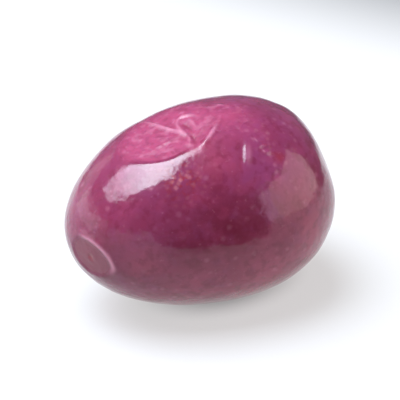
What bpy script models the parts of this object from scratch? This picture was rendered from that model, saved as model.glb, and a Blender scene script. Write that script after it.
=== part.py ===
"""One whole Azapa olive, a large purple table olive, lying on its side at its real size.

Metres, +Z up. +X runs along the fruit, from the round scar of the stem to the blunt tip. The
origin is the middle of the small flat on the underside that the fruit rests on.

The body is a unit sphere drawn out to the fruit's form. On that form lie the relief features: the
dish of the stem scar, a sunken patch of wrinkled skin on top, swells, folds, dents and a small pit.
A place on the skin is given as x, its distance from the fruit's middle towards the tip, and
around, the angle in degrees from the top of the fruit towards its -Y side.
"""

from typing import NamedTuple

import bmesh
import bpy
import numpy as np
from mathutils import Vector

MM = 0.001

# Body
LENGTH = 30.0 * MM
GIRTH = 22.0 * MM  # width across the middle
TIP_FULLNESS = 0.163  # gain in girth from the middle to the tip end, less a loss at the stem end
SHOULDER_FULLNESS = 0.113  # gain in girth at both ends, which makes them blunt
FLATNESS = 0.97  # height of a cross-section over its width
BOW = 0.31 * MM  # rise of the middle of the fruit's axis above its two ends
REST_DEPTH = 0.26 * MM  # how far the weight has flattened the underside

# Mesh
MERIDIANS = 84
RINGS = 64
CROWD_TO_STEM = 0.28  # 0 spaces the rings evenly, and more draws them towards the stem scar
CROWD_TO_HOLLOW = 0.38  # 0 spaces the meridians evenly, and more draws them towards the hollow
SNAP = 0.05 * MM  # corners this near the resting plane are moved onto it
FOLD_STEPS = 12  # straight pieces that a fold's curve is measured along
FAR_SIDE = 7.0 * MM  # what lies deeper than this below a feature is on the fruit's other side

# Rims: a lip's place and width as shares of the radius of the rim that it runs round
LIP_PLACE = 1.1
LIP_WIDTH = 0.14

# Stem scar: a shallow dish with a thin lip and a small socket
SCAR_X = -14.49 * MM
SCAR_AROUND = 107.0
SCAR_HALF_LENGTH = 2.85 * MM
SCAR_HALF_WIDTH = 2.2 * MM
SCAR_DEPTH = 0.3 * MM
SCAR_LIP = 0.07 * MM
SOCKET_RADIUS = 0.45 * MM
SOCKET_DEPTH = 0.18 * MM

# Hollow: the sunken patch of loose skin, with one radius for each 30 degrees round its rim,
# counted from the tip's direction towards the -Y side
HOLLOW_X = -4.1 * MM
HOLLOW_AROUND = -2.0
HOLLOW_RADII = np.array([6.3, 5.65, 5.2, 4.8, 4.55, 4.9, 5.6, 5.3, 4.8, 5.0, 5.8, 6.3]) * MM
HOLLOW_DEPTH = 0.66 * MM
HOLLOW_LIP = 0.08 * MM

# Dent on the hidden side, with a crisp upper edge
DENT_X = 4.5 * MM
DENT_AROUND = -98.0
DENT_RADII = np.array([3.9, 3.5, 2.8, 2.5, 2.7, 3.3, 3.8, 3.6, 3.2, 3.0, 3.2, 3.6]) * MM
DENT_DEPTH = 0.36 * MM
DENT_LIP = 0.05 * MM

# Tip: a shallow dimple with a blunt point in it
TIP_X = 14.98 * MM
TIP_AROUND = 20.0
TIP_RADIUS = 1.9 * MM
TIP_DEPTH = 0.16 * MM
TIP_POINT_RADIUS = 0.55 * MM
TIP_POINT_HEIGHT = 0.2 * MM

# Pit: a tiny sunken ring beside the crease
PIT_X = 4.07 * MM
PIT_AROUND = 35.5
PIT_RADIUS = 0.5 * MM
PIT_DEPTH = 0.09 * MM

SKIN_COLOUR = (0.25, 0.045, 0.13, 1.0)


class Swell(NamedTuple):
    """A broad rise of the skin, or a flattening where its height is below zero."""

    x: float
    around: float
    height: float
    reach: float


class Fold(NamedTuple):
    """A narrow ridge, or a furrow where its height is below zero, along a line of places."""

    height: float
    width: float
    line: tuple[tuple[float, float], ...]


SWELLS = (
    Swell(11.8 * MM, -6.0, 0.18 * MM, 2.6 * MM),
    Swell(-6.2 * MM, -42.0, 0.2 * MM, 2.8 * MM),
    Swell(4.5 * MM, -29.0, -0.14 * MM, 3.0 * MM),
    Swell(13.2 * MM, 46.0, -0.22 * MM, 2.8 * MM),
    Swell(-6.5 * MM, 34.0, 0.1 * MM, 2.6 * MM),
    Swell(9.5 * MM, -140.0, 0.2 * MM, 4.2 * MM),
    Swell(-8.5 * MM, -105.0, -0.22 * MM, 4.0 * MM),
    Swell(-3.0 * MM, -78.0, 0.16 * MM, 3.5 * MM),
    Swell(12.6 * MM, 88.0, 0.12 * MM, 2.6 * MM),
)

STAR = (-2.6 * MM, 13.0)  # where the folds of the hollow meet

FOLDS = (
    Fold(0.24 * MM, 0.36 * MM, ((-4.2 * MM, -26.0), (-3.6 * MM, -4.0), STAR)),
    Fold(0.2 * MM, 0.38 * MM, (STAR, (-2.3 * MM, -1.0), (-1.7 * MM, -8.0))),
    Fold(0.18 * MM, 0.36 * MM, ((-1.7 * MM, -8.0), (-0.6 * MM, -7.0), (0.3 * MM, -1.0))),
    Fold(0.2 * MM, 0.38 * MM, ((1.2 * MM, 8.0), (-0.1 * MM, 17.0), (-2.2 * MM, 22.5))),
    Fold(0.16 * MM, 0.36 * MM, ((-6.8 * MM, 11.0), (-4.8 * MM, 7.5), STAR)),
    Fold(-0.2 * MM, 0.4 * MM, (STAR, (-2.9 * MM, 17.5), (-3.2 * MM, 22.0))),
    Fold(-0.14 * MM, 0.36 * MM, ((2.9 * MM, 25.0), (1.9 * MM, 34.0), (1.2 * MM, 45.0))),
    Fold(0.1 * MM, 0.36 * MM, ((3.4 * MM, 26.0), (2.5 * MM, 35.0), (1.9 * MM, 44.0))),
    Fold(0.12 * MM, 0.4 * MM, ((2.2 * MM, -6.0), (3.0 * MM, -2.5), (3.7 * MM, 0.0))),
    Fold(-0.18 * MM, 0.55 * MM, ((-9.0 * MM, -128.0), (-2.5 * MM, -136.0), (4.0 * MM, -131.0))),
    Fold(-0.12 * MM, 0.45 * MM, ((-2.0 * MM, -88.0), (0.5 * MM, -82.0), (2.6 * MM, -84.0))),
    Fold(0.12 * MM, 0.4 * MM, ((2.4 * MM, -99.0), (4.4 * MM, -95.0), (6.6 * MM, -98.0))),
)


def bell(distance, width):
    """One at the middle, falling smoothly to a third at the width and to nothing beyond."""
    return np.exp(-((distance / width) ** 2))


def half_girth(along):
    """Half the body's width for each place along it, -1 at the stem end and 1 at the tip."""
    return GIRTH / 2 * (1.0 + TIP_FULLNESS * along + SHOULDER_FULLNESS * along**2)


def body_points(sphere):
    """The body's plain form: points of the unit sphere drawn out to the fruit."""
    along, side, up = sphere.T
    radius = half_girth(along)
    rise = BOW * (1.0 - along**2)
    return np.stack([LENGTH / 2 * along, radius * side, radius * FLATNESS * up + rise], axis=1)


def body_normals(sphere):
    """The outward directions of the plain form, worked out from its slopes."""
    along, side, up = sphere.T
    radius = half_girth(along)
    growth = GIRTH / 2 * (TIP_FULLNESS + 2.0 * SHOULDER_FULLNESS * along)
    out_y = side / radius
    out_z = up / (radius * FLATNESS)
    lean = growth * side * out_y + (growth * FLATNESS * up - 2.0 * BOW * along) * out_z
    out_x = (along - lean) / (LENGTH / 2)
    normals = np.stack([out_x, out_y, out_z], axis=1)
    return normals / np.linalg.norm(normals, axis=1, keepdims=True)


def on_sphere(x, around):
    """The unit sphere's points for places on the skin."""
    along = np.atleast_1d(x) / (LENGTH / 2)
    angle = np.radians(np.atleast_1d(around))
    ring = np.sqrt(1.0 - along**2)
    return np.stack([along, -ring * np.sin(angle), ring * np.cos(angle)], axis=1)


class Patch:
    """Flat axes laid on the skin at one place: along towards the tip, across over its side."""

    def __init__(self, x, around):
        sphere = on_sphere(x, around)
        self.centre = body_points(sphere)[0]
        self.out = body_normals(sphere)[0]
        along = np.array([1.0, 0.0, 0.0]) - self.out[0] * self.out
        self.along = along / np.linalg.norm(along)
        self.across = np.cross(self.along, self.out)

    def measure(self, points):
        """How far the points lie along and across the patch, and whether they are near it."""
        offsets = points - self.centre
        near = offsets @ self.out > -FAR_SIDE
        return offsets @ self.along, offsets @ self.across, near


def around_rim(radii, angles):
    """The rim's radius at each angle: a smooth closed curve through evenly spaced radii."""
    place = (angles / (2.0 * np.pi) * len(radii)) % len(radii)
    first = np.floor(place).astype(int) % len(radii)
    part = place - np.floor(place)
    before, start, end, after = (radii[(first + step) % len(radii)] for step in (-1, 0, 1, 2))
    bend = 2.0 * before - 5.0 * start + 4.0 * end - after
    twist = 3.0 * (start - end) + after - before
    return start + 0.5 * part * (end - before + part * (bend + part * twist))


def sunken_patch(points, patch, radii, depth, lip):
    """A bowl that breaks off crisply at its +across rim and fades out at the other one."""
    along, across, near = patch.measure(points)
    radius = np.hypot(along, across)
    share = radius / around_rim(radii, np.arctan2(across, along))
    crisp = 0.5 + 0.5 * np.clip(across / radii.mean() * 2.0, -1.0, 1.0)
    bowl = np.clip(1.0 - share**2, 0.0, None) ** (2.0 - crisp)
    rim = bell(share - LIP_PLACE, LIP_WIDTH) * crisp
    return near * (lip * rim - depth * bowl)


def stem_scar(points):
    """A flat-floored oval dish with a rounded lip, and a round socket at its middle."""
    along, across, near = Patch(SCAR_X, SCAR_AROUND).measure(points)
    share = np.hypot(along / SCAR_HALF_LENGTH, across / SCAR_HALF_WIDTH)
    dish = np.clip(1.0 - share**3, 0.0, None)
    lip = bell(share - LIP_PLACE, LIP_WIDTH)
    socket = bell(np.hypot(along, across), SOCKET_RADIUS)
    return near * (SCAR_LIP * lip - SCAR_DEPTH * dish - SOCKET_DEPTH * socket)


def tip_dimple(points):
    """A shallow dimple at the blunt tip, with a small point standing in it."""
    along, across, near = Patch(TIP_X, TIP_AROUND).measure(points)
    radius = np.hypot(along, across)
    point = TIP_POINT_HEIGHT * bell(radius, TIP_POINT_RADIUS)
    return near * (point - TIP_DEPTH * bell(radius, TIP_RADIUS))


def pit(points):
    """A tiny round pit with a raised ring."""
    centre = body_points(on_sphere(PIT_X, PIT_AROUND))[0]
    share = np.linalg.norm(points - centre, axis=1) / PIT_RADIUS
    return PIT_DEPTH * (0.6 * bell(share - 1.3, 0.5) - bell(share, 0.8))


def swell(points, shape):
    """A broad bell-shaped rise round one place."""
    centre = body_points(on_sphere(shape.x, shape.around))[0]
    return shape.height * bell(np.linalg.norm(points - centre, axis=1), shape.reach)


def fold(points, shape):
    """A bell-shaped ridge along a curve that bends past the middle place, fading at its ends."""
    step = np.linspace(0.0, 1.0, FOLD_STEPS + 1)[:, None]
    start, middle, end = np.array(shape.line)
    control = 2.0 * middle - (start + end) / 2.0
    places = (1.0 - step) ** 2 * start + 2.0 * step * (1.0 - step) * control + step**2 * end
    route = body_points(on_sphere(places[:, 0], places[:, 1]))
    nearest = np.full(len(points), np.inf)
    run = np.zeros(len(points))
    for number, (first, last) in enumerate(zip(route[:-1], route[1:], strict=True)):
        reach = last - first
        share = np.clip((points - first) @ reach / (reach @ reach), 0.0, 1.0)
        distance = np.linalg.norm(points - first - share[:, None] * reach, axis=1)
        closer = distance < nearest
        nearest = np.where(closer, distance, nearest)
        run = np.where(closer, (number + share) / FOLD_STEPS, run)
    fade = 0.35 + 0.65 * np.sin(np.pi * run)
    return shape.height * fade * bell(nearest, shape.width)


def relief(points):
    """How far the skin stands out from the plain form, or lies below it, at each point."""
    hollow = Patch(HOLLOW_X, HOLLOW_AROUND)
    dent = Patch(DENT_X, DENT_AROUND)
    height = stem_scar(points) + tip_dimple(points) + pit(points)
    height += sunken_patch(points, hollow, HOLLOW_RADII, HOLLOW_DEPTH, HOLLOW_LIP)
    height += sunken_patch(points, dent, DENT_RADII, DENT_DEPTH, DENT_LIP)
    for shape in SWELLS:
        height += swell(points, shape)
    for shape in FOLDS:
        height += fold(points, shape)
    return height


def lowest_point():
    """The x and z of the plain form's lowest point, read along its underside."""
    along = np.linspace(-1.0, 1.0, 2001)
    underside = np.stack([along, np.zeros_like(along), -np.sqrt(1.0 - along**2)], axis=1)
    points = body_points(underside)
    return points[points[:, 2].argmin()][[0, 2]]


def fruit_points(sphere):
    """The finished skin for points of the unit sphere, placed so that the flat is at the origin."""
    points = body_points(sphere)
    points += body_normals(sphere) * relief(points)[:, None]
    low_x, low_z = lowest_point()
    return points - np.array([low_x, 0.0, low_z + REST_DEPTH])


def aim_at_stem(sphere):
    """The sphere's mesh with its pole turned to the stem scar, and crowded where detail lies."""
    polar = np.arccos(np.clip(sphere[:, 2], -1.0, 1.0))
    turn = np.arctan2(sphere[:, 1], sphere[:, 0])
    polar = polar - CROWD_TO_STEM * np.sin(polar)
    turn = turn - CROWD_TO_HOLLOW * np.sin(turn)
    pole = on_sphere(SCAR_X, SCAR_AROUND)[0]
    hollow = on_sphere(HOLLOW_X, HOLLOW_AROUND)[0]
    sideways = hollow - hollow @ pole * pole
    sideways /= np.linalg.norm(sideways)
    axes = np.array([sideways, np.cross(pole, sideways), pole])
    ring = np.sin(polar)
    return np.stack([ring * np.cos(turn), ring * np.sin(turn), np.cos(polar)], axis=1) @ axes


def flatten_underside(mesh):
    """Cut off what lies below the resting plane, and close the cut with one flat face."""
    everything = mesh.verts[:] + mesh.edges[:] + mesh.faces[:]
    cut = bmesh.ops.bisect_plane(
        mesh,
        geom=everything,
        dist=SNAP,
        plane_co=Vector((0.0, 0.0, 0.0)),
        plane_no=Vector((0.0, 0.0, -1.0)),
        use_snap_center=True,
        clear_outer=True,
    )
    edges = [item for item in cut["geom_cut"] if isinstance(item, bmesh.types.BMEdge)]
    bmesh.ops.contextual_create(mesh, geom=edges)


def make_fruit():
    """The olive's mesh: one closed skin."""
    mesh = bmesh.new()
    bmesh.ops.create_uvsphere(mesh, u_segments=MERIDIANS, v_segments=RINGS, radius=1.0)
    sphere = np.array([vertex.co for vertex in mesh.verts])
    sphere /= np.linalg.norm(sphere, axis=1, keepdims=True)
    for vertex, place in zip(mesh.verts, fruit_points(aim_at_stem(sphere)), strict=True):
        vertex.co = place
    flatten_underside(mesh)
    bmesh.ops.triangulate(mesh, faces=mesh.faces[:])
    bmesh.ops.recalc_face_normals(mesh, faces=mesh.faces[:])
    data = bpy.data.meshes.new("olive")
    mesh.to_mesh(data)
    mesh.free()
    data.shade_smooth()
    return data


def make_skin():
    """The skin's plain material: glossy purple."""
    skin = bpy.data.materials.new("olive skin")
    skin.use_nodes = True
    shader = skin.node_tree.nodes["Principled BSDF"]
    shader.inputs["Base Color"].default_value = SKIN_COLOUR
    shader.inputs["Roughness"].default_value = 0.22
    shader.inputs["Metallic"].default_value = 0.0
    return skin


for leftover in list(bpy.data.objects):
    bpy.data.objects.remove(leftover)

olive = bpy.data.objects.new("olive", make_fruit())
olive.data.materials.append(make_skin())
parts = bpy.data.collections.new("Azapa olive")
bpy.context.scene.collection.children.link(parts)
parts.objects.link(olive)
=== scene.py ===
"""The looks of one whole Azapa olive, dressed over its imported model. Metres, +Z up.

The olive lies on its side. +X runs from the round scar of the stem to the blunt tip, and the
origin is the middle of the small flat that it rests on. A place on the skin is given as x, its
distance from the fruit's middle towards the tip, and around, the angle in degrees from the top of
the fruit towards its -Y side.
"""

import logging
from dataclasses import dataclass
from enum import Enum
from math import cos, pi, radians, sin
from typing import Any, Protocol

import bpy
import numpy as np
from mathutils import Matrix, Vector


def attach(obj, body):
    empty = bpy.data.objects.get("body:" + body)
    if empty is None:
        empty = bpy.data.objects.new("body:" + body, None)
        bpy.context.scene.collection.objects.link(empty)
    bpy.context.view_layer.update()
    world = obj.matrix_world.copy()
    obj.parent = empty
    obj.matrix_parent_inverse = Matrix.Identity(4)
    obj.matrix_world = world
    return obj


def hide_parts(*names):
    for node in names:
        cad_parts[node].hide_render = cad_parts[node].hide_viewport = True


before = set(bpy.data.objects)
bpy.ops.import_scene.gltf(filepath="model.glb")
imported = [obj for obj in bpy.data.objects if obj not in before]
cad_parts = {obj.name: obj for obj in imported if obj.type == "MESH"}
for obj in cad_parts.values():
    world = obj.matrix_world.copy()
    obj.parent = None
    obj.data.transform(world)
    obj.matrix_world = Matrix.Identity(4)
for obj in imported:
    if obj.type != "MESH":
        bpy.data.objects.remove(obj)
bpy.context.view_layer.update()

MM = 0.001
LOG = logging.getLogger("olive")

Colour = tuple[float, float, float]
BLACK: Colour = (0.0, 0.0, 0.0)
WHITE: Colour = (1.0, 1.0, 1.0)


class Mask(Enum):
    """The values that the skin's mesh carries at each vertex, for its finish to read."""

    VIOLET = "violet"
    WINE_TONE = "wine_tone"
    BLUSH_AND_PAINTED_LIGHT = "blush_and_painted_light"
    LOOSE = "loose"
    CREST_HIGHLIGHT = "crest"
    FURROW_SHADE = "furrow"
    SPECKLED = "speckled"
    RUST = "rust"
    SCAR = "scar"
    SCAR_RIM_AND_HIGHLIGHT = "scar_rim"
    SOCKET = "socket"


def bell(distance: np.ndarray, width: float) -> np.ndarray:
    """One at the middle, falling smoothly: e to the power of minus (distance / width) squared.

    Args:
        distance: how far each point is from the middle.
        width: the distance at which about a third is left.

    Returns:
        One value for each distance.
    """
    return np.exp(-((distance / width) ** 2))


def smooth_step(low: float, high: float, value: np.ndarray) -> np.ndarray:
    """A soft step from 0 at low to 1 at high: 3 t^2 - 2 t^3, with t the share of the way.

    Args:
        low: the value at which the step starts.
        high: the value at which it is done.
        value: the values to be stepped.

    Returns:
        One value from 0 to 1 for each value.
    """
    share = np.clip((value - low) / (high - low), 0.0, 1.0)
    return share * share * (3.0 - 2.0 * share)


@dataclass(frozen=True)
class Grain:
    """Smooth seeded noise in space: random values on a lattice, blended between its corners.

    The size is that of one cell, and the lattice repeats after its number of cells.
    """

    size: float
    seed: int
    cells: int = 48

    def value(self, points: np.ndarray) -> np.ndarray:
        """The eight corner values of each point's cell, blended by soft steps on each axis.

        Args:
            points: points in space, one in each row.

        Returns:
            One value from -1 to 1 for each point.
        """
        lattice = np.random.default_rng(self.seed).uniform(-1.0, 1.0, (self.cells,) * 3)
        place = points / self.size + self.cells / 2
        corner = np.floor(place).astype(int)
        part = smooth_step(0.0, 1.0, place - corner)
        total = np.zeros(len(points))
        for step in np.ndindex(2, 2, 2):
            weight = np.prod(np.where(np.array(step) == 1, part, 1.0 - part), axis=1)
            total += weight * lattice[tuple(((corner + np.array(step)) % self.cells).T)]
        return total


@dataclass(frozen=True)
class Place:
    """One place on the skin."""

    x: float
    around: float


@dataclass(frozen=True)
class Body:
    """The fruit's plain form: a unit sphere drawn out to an egg that is blunt at both ends."""

    length: float = 30.0 * MM
    girth: float = 22.0 * MM
    tip_fullness: float = 0.163
    shoulder_fullness: float = 0.113
    flatness: float = 0.97
    bow: float = 0.31 * MM
    rest_depth: float = 0.26 * MM
    search_steps: int = 2001

    def half_girth(self, along: np.ndarray) -> np.ndarray:
        """Half the width at each share of the length, -1 at the stem end and 1 at the tip."""
        fullness = 1.0 + self.tip_fullness * along + self.shoulder_fullness * along**2
        return self.girth / 2 * fullness

    def points(self, sphere: np.ndarray) -> np.ndarray:
        """The sphere's points, each ring widened to the half girth and lifted by the bow.

        Args:
            sphere: points of the unit sphere, one in each row.

        Returns:
            The points of the plain form, about the fruit's middle.
        """
        along, side, up = sphere.T
        radius = self.half_girth(along)
        height = radius * self.flatness * up + self.bow * (1.0 - along**2)
        return np.stack([self.length / 2 * along, radius * side, height], axis=1)

    def normals(self, sphere: np.ndarray) -> np.ndarray:
        """The outward directions: the sphere's own, divided by the slopes of the drawing out.

        Args:
            sphere: points of the unit sphere, one in each row.

        Returns:
            One unit vector for each point.
        """
        along, side, up = sphere.T
        radius = self.half_girth(along)
        growth = self.girth / 2 * (self.tip_fullness + 2.0 * self.shoulder_fullness * along)
        out_y = side / radius
        out_z = up / (radius * self.flatness)
        rise = growth * self.flatness * up - 2.0 * self.bow * along
        out_x = (along - growth * side * out_y - rise * out_z) / (self.length / 2)
        normals = np.stack([out_x, out_y, out_z], axis=1)
        return normals / np.linalg.norm(normals, axis=1, keepdims=True)

    def on_sphere(self, x: np.ndarray | float, around: np.ndarray | float) -> np.ndarray:
        """The unit sphere's points for places on the skin.

        Args:
            x: distances from the fruit's middle towards the tip.
            around: angles in degrees from the top towards the -Y side.

        Returns:
            One point of the unit sphere for each place.
        """
        along = np.atleast_1d(x) / (self.length / 2)
        angle = np.radians(np.atleast_1d(around))
        ring = np.sqrt(1.0 - along**2)
        return np.stack([along, -ring * np.sin(angle), ring * np.cos(angle)], axis=1)

    def distances(self, place: Place, points: np.ndarray) -> np.ndarray:
        """How far points are, in a straight line, from a place on the plain form."""
        return np.linalg.norm(points - self.points(self.on_sphere(place.x, place.around)), axis=1)

    def resting_point(self) -> np.ndarray:
        """Where the flat lies: under the lowest point of the underside, at the resting depth.

        Returns:
            The middle of the flat, about the fruit's middle.
        """
        along = np.linspace(-1.0, 1.0, self.search_steps)
        underside = np.stack([along, np.zeros_like(along), -np.sqrt(1.0 - along**2)], axis=1)
        points = self.points(underside)
        low = points[points[:, 2].argmin()]
        return np.array([low[0], 0.0, low[2] + self.rest_depth])


BODY = Body()


@dataclass(frozen=True)
class Patch:
    """Flat axes laid on the skin at one place: along towards the tip, across over its side.

    What lies deeper below the place than far_side is on the fruit's other side.
    """

    place: Place
    far_side: float = 7.0 * MM
    out_of_reach: float = 1.0

    def measure(self, points: np.ndarray) -> tuple[np.ndarray, np.ndarray]:
        """Where points lie on the patch, seen straight down on it.

        Args:
            points: points of the plain form.

        Returns:
            Each point's distance along and its distance across. Points on the fruit's other side
            are moved out of reach.
        """
        sphere = BODY.on_sphere(self.place.x, self.place.around)
        out = BODY.normals(sphere)[0]
        along = np.array([1.0, 0.0, 0.0]) - out[0] * out
        along /= np.linalg.norm(along)
        offsets = points - BODY.points(sphere)[0]
        shift = np.where(offsets @ out > -self.far_side, 0.0, self.out_of_reach)
        return offsets @ along + shift, offsets @ np.cross(along, out)


class Relief(Protocol):
    """Anything that lifts or sinks the skin."""

    def height(self, points: np.ndarray) -> np.ndarray:
        """How far the skin stands out from the plain form at each of its points."""
        ...


@dataclass(frozen=True)
class SunkenPatch:
    """A bowl in the skin, which breaks off crisply at its +across rim and fades out opposite.

    The radii stand at even turns, from along towards across. Edges, places and widths are shares
    of the radius, and so is turning, the distance across in which the rim goes from half crisp to
    crisp or to faint. Each edge runs from where the skin is fully loose to where it is firm.
    """

    place: Place
    radii: tuple[float, ...]
    depth: float
    lip: float
    lip_place: float = 1.1
    lip_width: float = 0.14
    faint_edge: tuple[float, float] = (0.55, 1.25)
    crisp_edge: tuple[float, float] = (0.88, 0.98)
    turning: float = 0.5
    unevenness: float = 0.0
    grain: Grain = Grain(1.6 * MM, 71)

    def rim(self, angles: np.ndarray) -> np.ndarray:
        """The rim's radius: a closed cubic curve through evenly spaced radii.

        Args:
            angles: directions from the bowl's middle, from along towards across.

        Returns:
            The rim's distance from the middle in each direction.
        """
        radii = np.array(self.radii)
        place = (angles / (2.0 * pi) * len(radii)) % len(radii)
        first = np.floor(place).astype(int) % len(radii)
        part = place - np.floor(place)
        before, start, end, after = (radii[(first + step) % len(radii)] for step in (-1, 0, 1, 2))
        bend = 2.0 * before - 5.0 * start + 4.0 * end - after
        twist = 3.0 * (start - end) + after - before
        return start + 0.5 * part * (end - before + part * (bend + part * twist))

    def share(self, points: np.ndarray) -> tuple[np.ndarray, np.ndarray]:
        """How far out each point is, as a share of the rim's radius, and how crisp the rim is.

        Args:
            points: points of the plain form.

        Returns:
            The shares, and the crispness from 0 on the faint side to 1 on the crisp one.
        """
        along, across = Patch(self.place).measure(points)
        share = np.hypot(along, across) / self.rim(np.arctan2(across, along))
        share = share * (1.0 + self.unevenness * self.grain.value(points))
        turning = self.turning * sum(self.radii) / len(self.radii)
        return share, 0.5 + 0.5 * np.clip(across / turning, -1.0, 1.0)

    def looseness(self, points: np.ndarray) -> np.ndarray:
        """How loose the skin is: its edge goes from the faint one to the crisp one with crispness.

        Args:
            points: points of the plain form.

        Returns:
            One value for each point, 1 in the bowl's middle and 0 outside.
        """
        share, crisp = self.share(points)
        start, end = (
            faint + (sharp - faint) * crisp
            for faint, sharp in zip(self.faint_edge, self.crisp_edge, strict=True)
        )
        return 1.0 - smooth_step(0.0, 1.0, (share - start) / (end - start))

    def height(self, points: np.ndarray) -> np.ndarray:
        """A lip less a bowl: depth times 1 - share squared, to a power from 2 down to 1.

        Args:
            points: points of the plain form.

        Returns:
            How far the skin stands out at each point.
        """
        share, crisp = self.share(points)
        bowl = np.clip(1.0 - share**2, 0.0, None) ** (2.0 - crisp)
        return self.lip * crisp * bell(share - self.lip_place, self.lip_width) - self.depth * bowl


@dataclass(frozen=True)
class StemScar:
    """The round scar that the stem left: a flat-floored oval dish with a thin lip and a socket.

    Edges, places and widths are shares of the oval's radius. The torn side is a direction in
    degrees from along towards across, and its edge is given in cosines of the turn from it.
    """

    place: Place = Place(-14.49 * MM, 107.0)
    half_length: float = 2.75 * MM
    half_width: float = 2.15 * MM
    depth: float = 0.3 * MM
    floor_edge: tuple[float, float] = (0.72, 1.02)
    lip: float = 0.07 * MM
    lip_place: float = 1.1
    lip_width: float = 0.14
    lower_lip: float = 0.3
    torn_side: float = -65.0
    torn_edge: tuple[float, float] = (0.05, 0.75)
    rim_place: float = 1.03
    rim_width: float = 0.09
    socket_radius: float = 0.36 * MM
    socket_depth: float = 0.08 * MM
    unevenness: float = 0.06
    grain: Grain = Grain(1.1 * MM, 57)

    def share(self, points: np.ndarray) -> np.ndarray:
        """How far out each point is, as a share of the oval's slightly uneven radius.

        Args:
            points: points of the plain form.

        Returns:
            One share for each point.
        """
        along, across = Patch(self.place).measure(points)
        share = np.hypot(along / self.half_length, across / self.half_width)
        return share * (1.0 + self.unevenness * self.grain.value(points))

    def torn(self, points: np.ndarray) -> np.ndarray:
        """How much the skin stands proud round the scar, by how far a point faces the torn side.

        Args:
            points: points of the plain form.

        Returns:
            One value for each point, 1 on the torn side and 0 opposite.
        """
        along, across = Patch(self.place).measure(points)
        facing = np.cos(np.arctan2(across, along) - radians(self.torn_side))
        return smooth_step(*self.torn_edge, facing)

    def rim(self, points: np.ndarray) -> np.ndarray:
        """The pale edge of the torn skin, partly a painted highlight."""
        return self.torn(points) * bell(self.share(points) - self.rim_place, self.rim_width)

    def floor(self, points: np.ndarray) -> np.ndarray:
        """One on the dish's floor, falling softly to nothing at its edge."""
        return 1.0 - smooth_step(*self.floor_edge, self.share(points))

    def height(self, points: np.ndarray) -> np.ndarray:
        """A bell-shaped lip, less depth times 1 - share cubed, less a bell-shaped socket.

        Args:
            points: points of the plain form.

        Returns:
            How far the skin stands out at each point.
        """
        share = self.share(points)
        proud = self.lower_lip + (1.0 - self.lower_lip) * self.torn(points)
        lip = self.lip * proud * bell(share - self.lip_place, self.lip_width)
        dish = self.depth * np.clip(1.0 - share**3, 0.0, None)
        radius = np.hypot(*Patch(self.place).measure(points))
        return lip - dish - self.socket_depth * bell(radius, self.socket_radius)


@dataclass(frozen=True)
class TipDimple:
    """A shallow dimple at the blunt tip, with a small point standing in it."""

    place: Place = Place(14.98 * MM, 20.0)
    radius: float = 1.9 * MM
    depth: float = 0.16 * MM
    point_radius: float = 0.55 * MM
    point_height: float = 0.2 * MM

    def height(self, points: np.ndarray) -> np.ndarray:
        """A narrow bell less a wide one."""
        radius = np.hypot(*Patch(self.place).measure(points))
        return self.point_height * bell(radius, self.point_radius) - self.depth * bell(radius, self.radius)


@dataclass(frozen=True)
class Pit:
    """A tiny round pit with a raised ring, whose place and widths are shares of the radius."""

    place: Place = Place(4.07 * MM, 35.5)
    radius: float = 0.5 * MM
    width: float = 0.8
    depth: float = 0.09 * MM
    ring_place: float = 1.3
    ring_width: float = 0.5
    ring_height: float = 0.054 * MM

    def height(self, points: np.ndarray) -> np.ndarray:
        """A bell-shaped ring less a bell-shaped pit, by the distance from the place.

        Args:
            points: points of the plain form.

        Returns:
            How far the skin stands out at each point.
        """
        share = BODY.distances(self.place, points) / self.radius
        ring = self.ring_height * bell(share - self.ring_place, self.ring_width)
        return ring - self.depth * bell(share, self.width)


@dataclass(frozen=True)
class Swell:
    """A broad rise of the skin, or a flattening where its rise is below zero."""

    place: Place
    rise: float
    reach: float

    def height(self, points: np.ndarray) -> np.ndarray:
        """A bell by the distance from the place."""
        return self.rise * bell(BODY.distances(self.place, points), self.reach)


@dataclass(frozen=True)
class Fold:
    """A narrow ridge, or a furrow where its rise is below zero, along a bent line."""

    rise: float
    width: float
    line: tuple[Place, ...]
    steps: int = 14
    end_share: float = 0.3

    def route(self) -> np.ndarray:
        """The line on the plain form: a parabola through its three places, x and around alike.

        Returns:
            The ends of the straight pieces that it is measured along, one in each row.
        """
        step = np.linspace(0.0, 1.0, self.steps + 1)[:, None]
        start, middle, end = (np.array([place.x, place.around]) for place in self.line)
        control = 2.0 * middle - (start + end) / 2.0
        places = (1.0 - step) ** 2 * start + 2.0 * step * (1.0 - step) * control + step**2 * end
        return BODY.points(BODY.on_sphere(places[:, 0], places[:, 1]))

    def height(self, points: np.ndarray) -> np.ndarray:
        """A bell by the distance from the line's nearest straight piece, lower at its ends.

        Args:
            points: points of the plain form.

        Returns:
            How far the skin stands out at each point.
        """
        route = self.route()
        nearest = np.full(len(points), np.inf)
        run = np.zeros(len(points))
        for number, (first, last) in enumerate(zip(route[:-1], route[1:], strict=True)):
            reach = last - first
            share = np.clip((points - first) @ reach / (reach @ reach), 0.0, 1.0)
            distance = np.linalg.norm(points - first - share[:, None] * reach, axis=1)
            run = np.where(distance < nearest, (number + share) / self.steps, run)
            nearest = np.minimum(distance, nearest)
        fade = self.end_share + (1.0 - self.end_share) * np.sin(pi * run)
        return self.rise * fade * bell(nearest, self.width)


def millimetres(*values: float) -> tuple[float, ...]:
    """Sizes turned from millimetres to metres.

    Args:
        values: the sizes in millimetres.

    Returns:
        The sizes in metres.
    """
    return tuple(value * MM for value in values)


def line(*places: tuple[float, float]) -> tuple[Place, ...]:
    """The places that a fold runs through.

    Args:
        places: pairs of x in millimetres and around in degrees.

    Returns:
        The places, in metres and degrees.
    """
    return tuple(Place(x * MM, around) for x, around in places)


HOLLOW = SunkenPatch(
    place=Place(-4.1 * MM, -2.0),
    radii=millimetres(6.3, 5.6, 4.92, 4.32, 4.55, 4.88, 5.6, 5.3, 4.8, 5.0, 5.8, 6.3),
    depth=0.66 * MM,
    lip=0.05 * MM,
    lip_width=0.2,
)

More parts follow.
